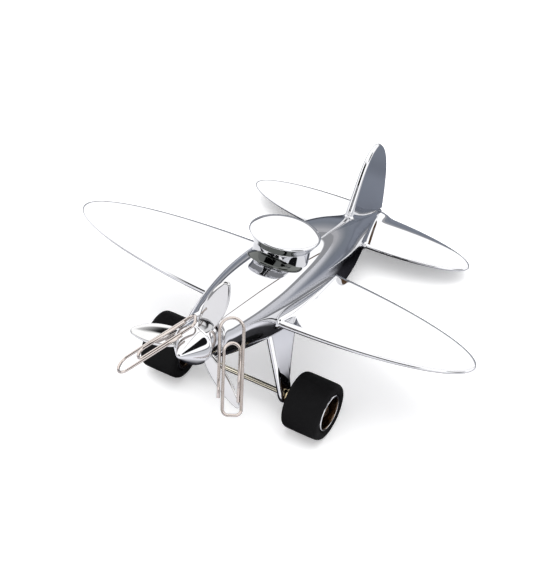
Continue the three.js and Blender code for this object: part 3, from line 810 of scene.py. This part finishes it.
axle_cap = [(0, 31.5), (2.3, 31.5), (2.5, 31.8), (2.5, 32.7), (1.9, 33.6), (0.9, 34.1), (0, 34.2)]
RECESS = dict(r=6.02, inner=0.3, outer=0.25)  # mm; the last two are in from the tyre's faces


def darken_recess(skin, centre):
    """The recess of a rim takes a dark, dull finish; only the face ring is bright."""
    skin.data.materials.append(DARK_DULL)
    for face in skin.data.polygons:
        out = abs(face.center.x) * 1000
        radius = math.hypot(face.center.y - centre.y, face.center.z - centre.z) * 1000
        if radius < RECESS["r"] and inner + RECESS["inner"] < out < outer - RECESS["outer"]:
            face.material_index = 1


hub_line = Matrix.Translation((0, WHEEL["y"], WHEEL["z"]))
for side_name, sign in SIDES:
    place = hub_line @ Matrix.Diagonal((sign, 1, 1, 1)) @ ABOUT_X
    wheel = f"wheel_{side_name}"
    keep(f"tyre_skin_{side_name}", spun(tyre, place, 64, True), wheel, [f"tyre_{side_name}"],
         RUBBER, 2)
    skin = keep(f"rim_skin_{side_name}", spun(crisp(rim)[:-1], place, 64, True), wheel,
                [f"wheel_rim_{side_name}"], CHROME, 2)
    darken_recess(skin, AIR @ Vector((0, WHEEL["y"], WHEEL["z"])))
    keep(f"bush_skin_{side_name}", spun(crisp(bush)[:-1], place, 32, True), wheel,
         [f"wheel_bush_{side_name}"], BRASS, 1)
    keep(f"spacer_skin_{side_name}", spun(crisp(spacer)[:-1], place, 32, True), "airframe",
         [f"axle_spacer_{side_name}"], BRASS, 1)
    keep(f"axle_cap_skin_{side_name}", spun(crisp(axle_cap, 0.08), place, 32), "airframe",
         [f"axle_cap_{side_name}"], DARK_DULL, 2)
axle = crisp([(0, -33.2), (0.95, -33.2), (0.95, 33.2), (0, 33.2)], 0.15)
keep("axle_rod", spun(axle, hub_line @ ABOUT_X, 32), "airframe", ["axle"], AXLE_METAL, 1)

# %% [markdown]
# ## The pilot's cap
# A peaked cap sits where the cockpit would be: a nearly flat crown with a
# rounded rim, a wall drawing in to the band, and a darker crescent peak in
# front. Crown and band are turned; the peak is a plate, bent in the next step.

# %% Crown and band
CAP_MIDDLE = 68.1  # mm aft of the spinner's tip
over_cap = Matrix.Translation((0, CAP_MIDDLE, 0))
CROWN_WALL = [(0, 15.4), (9.9, 15.4), (10.35, 15.55), (10.7, 16.0), (11.4, 17.2), (12.15, 18.4)]
CROWN_RIM = [(12.42, 18.7), (12.55, 18.95), (12.48, 19.25), (12.2, 19.55), (11.7, 19.8), (11.0, 20.0)]
CROWN_TOP = [(10.2, 20.14), (9.2, 20.2), (0, 20.26)]
crown = CROWN_WALL + CROWN_RIM + CROWN_TOP
keep("crown_skin", spun(crown, over_cap, 64), "airframe", ["cap_crown"], CHROME, 2)
band = [(0, 8.0), (9.9, 8.0), (9.9, 15.3), (9.6, 15.8), (0, 15.8)]
keep("band_skin", spun(crisp(band, 0.1), over_cap, 64), "airframe", ["cap_band"], CHROME, 2)

# %% [markdown]
# ## The peak
# It is a little more than half of a disc, and the band hides its straight
# side. It droops at both sides and slopes down to the front, so its flat plate
# is bent after it is made: each vertex sinks by where it stands.

# %% Peak
PEAK = dict(y=64.4, r=10.0, z=14.1, thick=0.8, droop=0.044, start=58.6, slope=0.42)
PEAK_ARC = dict(first=-0.05, sweep=0.97, count=48)  # in half turns


def peak_outline():
    """Part of a circle, closed by one straight side."""
    outline = []
    for k in range(PEAK_ARC["count"] + 1):
        a = math.pi * (PEAK_ARC["first"] + PEAK_ARC["sweep"] * k / PEAK_ARC["count"])
        outline.append((PEAK["r"] * math.cos(a), -PEAK["r"] * math.sin(a)))
    return outline


bm = soft_plate(peak_outline(), (0.5, -5.0), lambda x, y: PEAK["thick"])
bmesh.ops.translate(bm, vec=(0, PEAK["y"], PEAK["z"]), verts=bm.verts)
for vert in bm.verts:
    ahead = max(PEAK["start"] - vert.co.y, 0.0)
    vert.co.z -= PEAK["droop"] * vert.co.x ** 2 + PEAK["slope"] * ahead
keep("peak_skin", bm, "airframe", ["cap_visor"], CHROME_VISOR)

# %% [markdown]
# ## Paper clips
# A clip is one length of round wire bent back on itself three times. The path
# is a curve of straight runs and arcs, and the curve's own round bevel makes
# the wire. The curve is then made a mesh and turned to its place, since a
# finished piece's object stays unturned.

# %% Paper clips
CLIP = dict(length=33.0, width=9.0, wire=1.12, corner=1.9)


def arc(cx, cy, r, start, stop, count=12):
    """Points round part of a circle, in degrees."""
    turns = [math.radians(start + (stop - start) * k / count) for k in range(count + 1)]
    return [(cx + r * math.cos(a), cy + r * math.sin(a)) for a in turns]


def clip_path():
    """The wire's middle line, flat, from the outer free end to the inner one."""
    half = (CLIP["width"] - CLIP["wire"]) / 2
    top = (CLIP["length"] - CLIP["wire"]) / 2
    low = -top
    tongue = half - 1.25
    corner = CLIP["corner"]
    path = [(-half, low + 5.5), (-half, low + 12)]
    path += arc(0, top - half, half, 180, 0, 24)
    path += arc(half - 2.2, low + corner, corner, 0, -90)
    path += arc(-half + 3.3, low + corner, corner, -90, -180)
    path += arc(0.25, top - 11.0, tongue, 180, 0, 24)
    path += [(tongue - 0.1, low + 4.2)]
    return path


def clip(name, centre, along, facing, node):
    """Bend a clip and stand it in space from its long direction and its face."""
    path = clip_path()
    curve = bpy.data.curves.new(name, "CURVE")
    curve.dimensions = "3D"
    curve.bevel_depth = CLIP["wire"] / 2
    curve.bevel_resolution = 5
    curve.use_fill_caps = True
    spline = curve.splines.new("POLY")
    spline.points.add(len(path) - 1)
    for point, (x, y) in zip(spline.points, path):
        point.co = (x, y, 0, 1)
    draft = bpy.data.objects.new(name, curve)
    bpy.context.scene.collection.objects.link(draft)
    bpy.context.view_layer.update()
    done = draft.evaluated_get(bpy.context.evaluated_depsgraph_get())
    bm = bmesh.new()
    bm.from_mesh(done.to_mesh())
    done.to_mesh_clear()
    bpy.data.objects.remove(draft)
    bpy.data.curves.remove(curve)
    y = Vector(along).normalized()
    z = Vector(facing)
    z = (z - y * z.dot(y)).normalized()  # square to the wire's long direction
    basis = Matrix((y.cross(z), y, z)).transposed().to_4x4()
    bmesh.ops.transform(bm, matrix=Matrix.Translation(centre) @ basis, verts=bm.verts)
    return keep(name, bm, node, [node], WIRE)


clip("clip_wire_port", (13.74, 12.34, -3.39), (-0.367, 0.421, 0.83), (0.323, -0.779, 0.538),
     "paper_clip_port")
clip("clip_wire_starboard", (-10.09, 3.72, -1.7), (-0.612, -0.309, -0.728), (-0.612, -0.398, 0.683),
     "paper_clip_starboard")

# %% [markdown]
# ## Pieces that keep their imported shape
# Dowels, pins, the shaft and the magnet are hidden or nearly so, and their
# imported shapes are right. They only take a finish.

# %% Finish the hidden pieces
NOT_STEEL = {"magnet": MAGNET, "nose_bush": BRASS}
for name, node in nodes.items():
    if node.hide_render:
        continue
    node.data.materials.clear()
    node.data.materials.append(NOT_STEEL.get(name, STEEL))
    print("packed shape kept:", name)

# %% [markdown]
# ## The floor
# Plating has no colour of its own: what it mirrors is the picture. The paper
# floor looks white to the lens, but the plating mirrors it as the slate-grey
# table it lies on, with painted shadows under the body and the wings' leading
# edges, painted shade beside the fin, and dark places in front. One material
# does both: the kind of ray picks white paper or the table's picture, which is
# a colour ramp from front to back with soft rectangles of painted shadow, painted
# shade and plain dark laid over it.

# %% Floor
FLOOR_HALF = 0.55
PAPER = (0.90, 0.90, 0.905, 1)
PAPER_GLOW = 0.30

bm = bmesh.new()
bmesh.ops.create_grid(bm, x_segments=1, y_segments=1, size=FLOOR_HALF)
mesh = bpy.data.meshes.new("floor")
bm.to_mesh(mesh)
bm.free()
floor = bpy.data.objects.new("floor", mesh)
bpy.context.scene.collection.objects.link(floor)
print("floor is", 2 * FLOOR_HALF, "m wide")

# %% Table ramp from front to back
TABLE = (  # distance behind the middle of the model, in metres, and colour
    (-0.20, (0.74, 0.74, 0.77, 1)),
    (0.01, (0.78, 0.78, 0.82, 1)),
    (0.085, (0.15, 0.165, 0.20, 1)),
    (0.15, (0.14, 0.155, 0.18, 1)),
    (0.34, (0.33, 0.33, 0.345, 1)),
)
paper = bpy.data.materials.new("floor_paper")
paper.use_nodes = True
tree = paper.node_tree
surface = tree.nodes["Principled BSDF"]
surface.inputs["Roughness"].default_value = 0.9
surface.inputs["Specular IOR Level"].default_value = 0.1
where = tree.nodes.new("ShaderNodeTexCoord")
split = tree.nodes.new("ShaderNodeSeparateXYZ")
tree.links.new(where.outputs["Object"], split.inputs["Vector"])
depth = tree.nodes.new("ShaderNodeMapRange")
depth.inputs["From Min"].default_value = TABLE[0][0]
depth.inputs["From Max"].default_value = TABLE[-1][0]
tree.links.new(split.outputs["Y"], depth.inputs["Value"])
table = tree.nodes.new("ShaderNodeValToRGB")
for k, (distance, colour) in enumerate(TABLE):
    at = (distance - TABLE[0][0]) / (TABLE[-1][0] - TABLE[0][0])
    stop = table.color_ramp.elements[k] if k < 2 else table.color_ramp.elements.new(at)
    stop.position = at
    stop.color = colour
tree.links.new(depth.outputs["Result"], table.inputs["Fac"])
print("table ramp has", len(table.color_ramp.elements), "stops")

# %% Soft rectangles on the table: painted shadows, painted shade and dark patches
TABLE_SIDE = (0.50, 0.505, 0.53, 1)
TABLE_ACROSS = (-0.25, 0.32, 0.10)  # middle, half width and softness, in metres
SHADOWS_AND_DARK_PATCHES = (  # (middle, half size, softness) across and then along, in metres, and colour
    # painted shadow of the body on the floor
    ((-0.004, 0.030, 0.014), (0.01, 0.065, 0.03), (0.02, 0.02, 0.025, 1)),  # under the body
    # painted shadow under the wings' leading edges
    ((0.0, 0.080, 0.008), (-0.014, 0.012, 0.008), (0.05, 0.05, 0.055, 1)),  # under the leading edges
    # painted shade beside the fin, where the tail's shadow falls
    ((0.014, 0.012, 0.010), (0.076, 0.012, 0.010), (0.155, 0.17, 0.205, 1)),  # beside the fin
    ((-0.17, 0.05, 0.02), (-0.14, 0.05, 0.02), (0.03, 0.03, 0.035, 1)),  # in front, for the blades
    ((0.20, 0.05, 0.02), (-0.34, 0.08, 0.02), (0.03, 0.03, 0.035, 1)),
)


def near_line(axis, middle, half, soft):
    """1 within half of a middle value on one floor axis, falling to 0 over soft."""
    away = tree.nodes.new("ShaderNodeMath")
    away.operation = "SUBTRACT"
    away.inputs[1].default_value = middle
    tree.links.new(split.outputs[axis], away.inputs[0])
    size = tree.nodes.new("ShaderNodeMath")
    size.operation = "ABSOLUTE"
    tree.links.new(away.outputs["Value"], size.inputs[0])
    fade = tree.nodes.new("ShaderNodeMapRange")
    fade.interpolation_type = "SMOOTHSTEP"
    fade.inputs["From Min"].default_value = half
    fade.inputs["From Max"].default_value = half + soft
    fade.inputs["To Min"].default_value = 1.0
    fade.inputs["To Max"].default_value = 0.0
    tree.links.new(size.outputs["Value"], fade.inputs["Value"])
    return fade.outputs["Result"]


sides = tree.nodes.new("ShaderNodeMix")
sides.data_type = "RGBA"
sides.inputs["A"].default_value = TABLE_SIDE
tree.links.new(table.outputs["Color"], sides.inputs["B"])
tree.links.new(near_line("X", *TABLE_ACROSS), sides.inputs["Factor"])
mirrored = sides.outputs["Result"]
# Lay each rectangle over the mirrored table: painted shadows, painted shade and dark patches.
for across, lengthways, colour in SHADOWS_AND_DARK_PATCHES:
    mask = tree.nodes.new("ShaderNodeMath")
    mask.operation = "MULTIPLY"
    tree.links.new(near_line("X", *across), mask.inputs[0])
    tree.links.new(near_line("Y", *lengthways), mask.inputs[1])
    patch = tree.nodes.new("ShaderNodeMix")
    patch.data_type = "RGBA"
    patch.inputs["B"].default_value = colour
    tree.links.new(mirrored, patch.inputs["A"])
    tree.links.new(mask.outputs["Value"], patch.inputs["Factor"])
    mirrored = patch.outputs["Result"]
print("patches on the table", len(SHADOWS_AND_DARK_PATCHES))

# %% White paper to the lens, table to the plating
ray = tree.nodes.new("ShaderNodeLightPath")
seen = tree.nodes.new("ShaderNodeMix")
seen.data_type = "RGBA"
seen.inputs["A"].default_value = PAPER
tree.links.new(ray.outputs["Is Glossy Ray"], seen.inputs["Factor"])
tree.links.new(mirrored, seen.inputs["B"])
tree.links.new(seen.outputs["Result"], surface.inputs["Base Color"])
lit = tree.nodes.new("ShaderNodeMath")
lit.operation = "MULTIPLY"
lit.inputs[1].default_value = PAPER_GLOW
tree.links.new(ray.outputs["Is Camera Ray"], lit.inputs[0])
surface.inputs["Emission Color"].default_value = PAPER
tree.links.new(lit.outputs["Value"], surface.inputs["Emission Strength"])
mesh.materials.append(paper)
print("floor nodes", len(tree.nodes))

# %% [markdown]
# ## The tent
# The model stands in a tent of bright white cloth, which is the world itself.
# Masks made from the sight line's direction darken it: a dark opening in
# front where the lens looks in, a dark gap high to port, one thin brown seam
# behind, and slate-grey low down behind and to starboard. Each mask is laid
# over what was there before.

# %% The tent's colours
TENT = (1.60, 1.60, 1.60, 1)
BELOW = (0.40, 0.405, 0.42, 1)
SEAM = (0.14, 0.08, 0.04, 1)
DARK = (0.012, 0.012, 0.014, 1)
SLATE = (0.16, 0.17, 0.20, 1)
BACKDROP = (0.96, 0.96, 0.965, 1)  # what the lens itself sees past the floor

world = bpy.data.worlds.new("tent")
bpy.context.scene.world = world
world.use_nodes = True
sky = world.node_tree
glow = sky.nodes["Background"]
glow.inputs["Strength"].default_value = 1.0
look = sky.nodes.new("ShaderNodeTexCoord")
print("tent cloth", TENT[:3], "opening", DARK[:3])


# %% Masks on the tent
def along(direction, low, high):
    """0 where a sight line makes a cosine below low with a direction, 1 above high."""
    dot = sky.nodes.new("ShaderNodeVectorMath")
    dot.operation = "DOT_PRODUCT"
    dot.inputs[1].default_value = direction
    sky.links.new(look.outputs["Generated"], dot.inputs[0])
    ramp = sky.nodes.new("ShaderNodeMapRange")
    ramp.interpolation_type = "SMOOTHSTEP"
    ramp.inputs["From Min"].default_value = low
    ramp.inputs["From Max"].default_value = high
    sky.links.new(dot.outputs["Value"], ramp.inputs["Value"])
    return ramp.outputs["Result"]


def both(a, b):
    """Where two masks overlap."""
    times = sky.nodes.new("ShaderNodeMath")
    times.operation = "MULTIPLY"
    sky.links.new(a, times.inputs[0])
    sky.links.new(b, times.inputs[1])
    return times.outputs["Value"]


def painted(below, colour, mask):
    """Lay a colour over what is there, where the mask says."""
    layer = sky.nodes.new("ShaderNodeMix")
    layer.data_type = "RGBA"
    if isinstance(below, tuple):
        layer.inputs["A"].default_value = below
    else:
        sky.links.new(below, layer.inputs["A"])
    layer.inputs["B"].default_value = colour
    sky.links.new(mask, layer.inputs["Factor"])
    return layer.outputs["Result"]


def strip(turn, half_width, soft):
    """An upright strip at a turn from straight behind, towards port; it comes round in front too."""
    a = math.radians(turn)
    across = (math.cos(a), -math.sin(a), 0)
    limits = (-half_width - soft, -half_width + soft)
    return both(along(across, *limits), along([-c for c in across], *limits))


print("mask helpers ready, nodes so far", len(sky.nodes))

# %% Paint the tent
# Each pair is the cosine where a mask starts and where it is full.
UP, DOWN = (0, 0, 1), (0, 0, -1)
FRONT, BEHIND = (0, -1, 0), (0, 1, 0)
PORT, STARBOARD = (1, 0, 0), (-1, 0, 0)
UNDER_HORIZON = (-0.03, -0.01)
SEAM_STRIP = dict(turn=15.0, half_width=0.017, soft=0.006)
SEAM_ABOVE = (0.01, 0.03)
SEAM_BEHIND = (0.0, 0.02)
OPENING_LIMITS = (
    (FRONT, (0.20, 0.30)), (UP, (0.18, 0.22)), (DOWN, (-0.80, -0.72)),
    (PORT, (-0.60, -0.50)), (STARBOARD, (-0.50, -0.40)),
)
GAP_MIDDLE = Vector((0.80, 0.02, 0.60)).normalized()
GAP_EDGE = (0.945, 0.955)
RAIL_MIDDLE = Vector((-0.79, 0.60, 0.06)).normalized()
RAIL_EDGE = (0.86, 0.92)
RAIL_BELOW = (-0.02, 0.0)

tent = painted(TENT, BELOW, along(DOWN, *UNDER_HORIZON))
seam = both(strip(**SEAM_STRIP), along(UP, *SEAM_ABOVE))
tent = painted(tent, SEAM, both(seam, along(BEHIND, *SEAM_BEHIND)))
opening = functools.reduce(both, [along(way, *limits) for way, limits in OPENING_LIMITS])
tent = painted(tent, DARK, opening)
tent = painted(tent, DARK, along(GAP_MIDDLE, *GAP_EDGE))
rail = both(along(RAIL_MIDDLE, *RAIL_EDGE), along(DOWN, *RAIL_BELOW))
tent = painted(tent, SLATE, rail)
to_lens = sky.nodes.new("ShaderNodeLightPath")
tent = painted(tent, BACKDROP, to_lens.outputs["Is Camera Ray"])
sky.links.new(tent, glow.inputs["Color"])
print("tent nodes", len(sky.nodes))

# %% [markdown]
# ## A lamp overhead
# The tent alone lights everything evenly. One wide lamp gives the wheels and
# the clips a faint soft shadow. The plating doesn't mirror it.

# %% Lamp
LAMP_POWER = 9.0  # watts
LAMP_SIZE = 1.2
LAMP_HEIGHT = 1.5

lamp = bpy.data.lights.new("soft_lamp", "AREA")
lamp.shape = "DISK"
lamp.size = LAMP_SIZE
lamp.energy = LAMP_POWER
overhead = bpy.data.objects.new("soft_lamp", lamp)
overhead.matrix_world = Matrix.Translation((0, 0, LAMP_HEIGHT))
overhead.visible_glossy = False
bpy.context.scene.collection.objects.link(overhead)
bpy.context.scene.view_settings.view_transform = "Standard"
print("lamp at", LAMP_HEIGHT, "m")
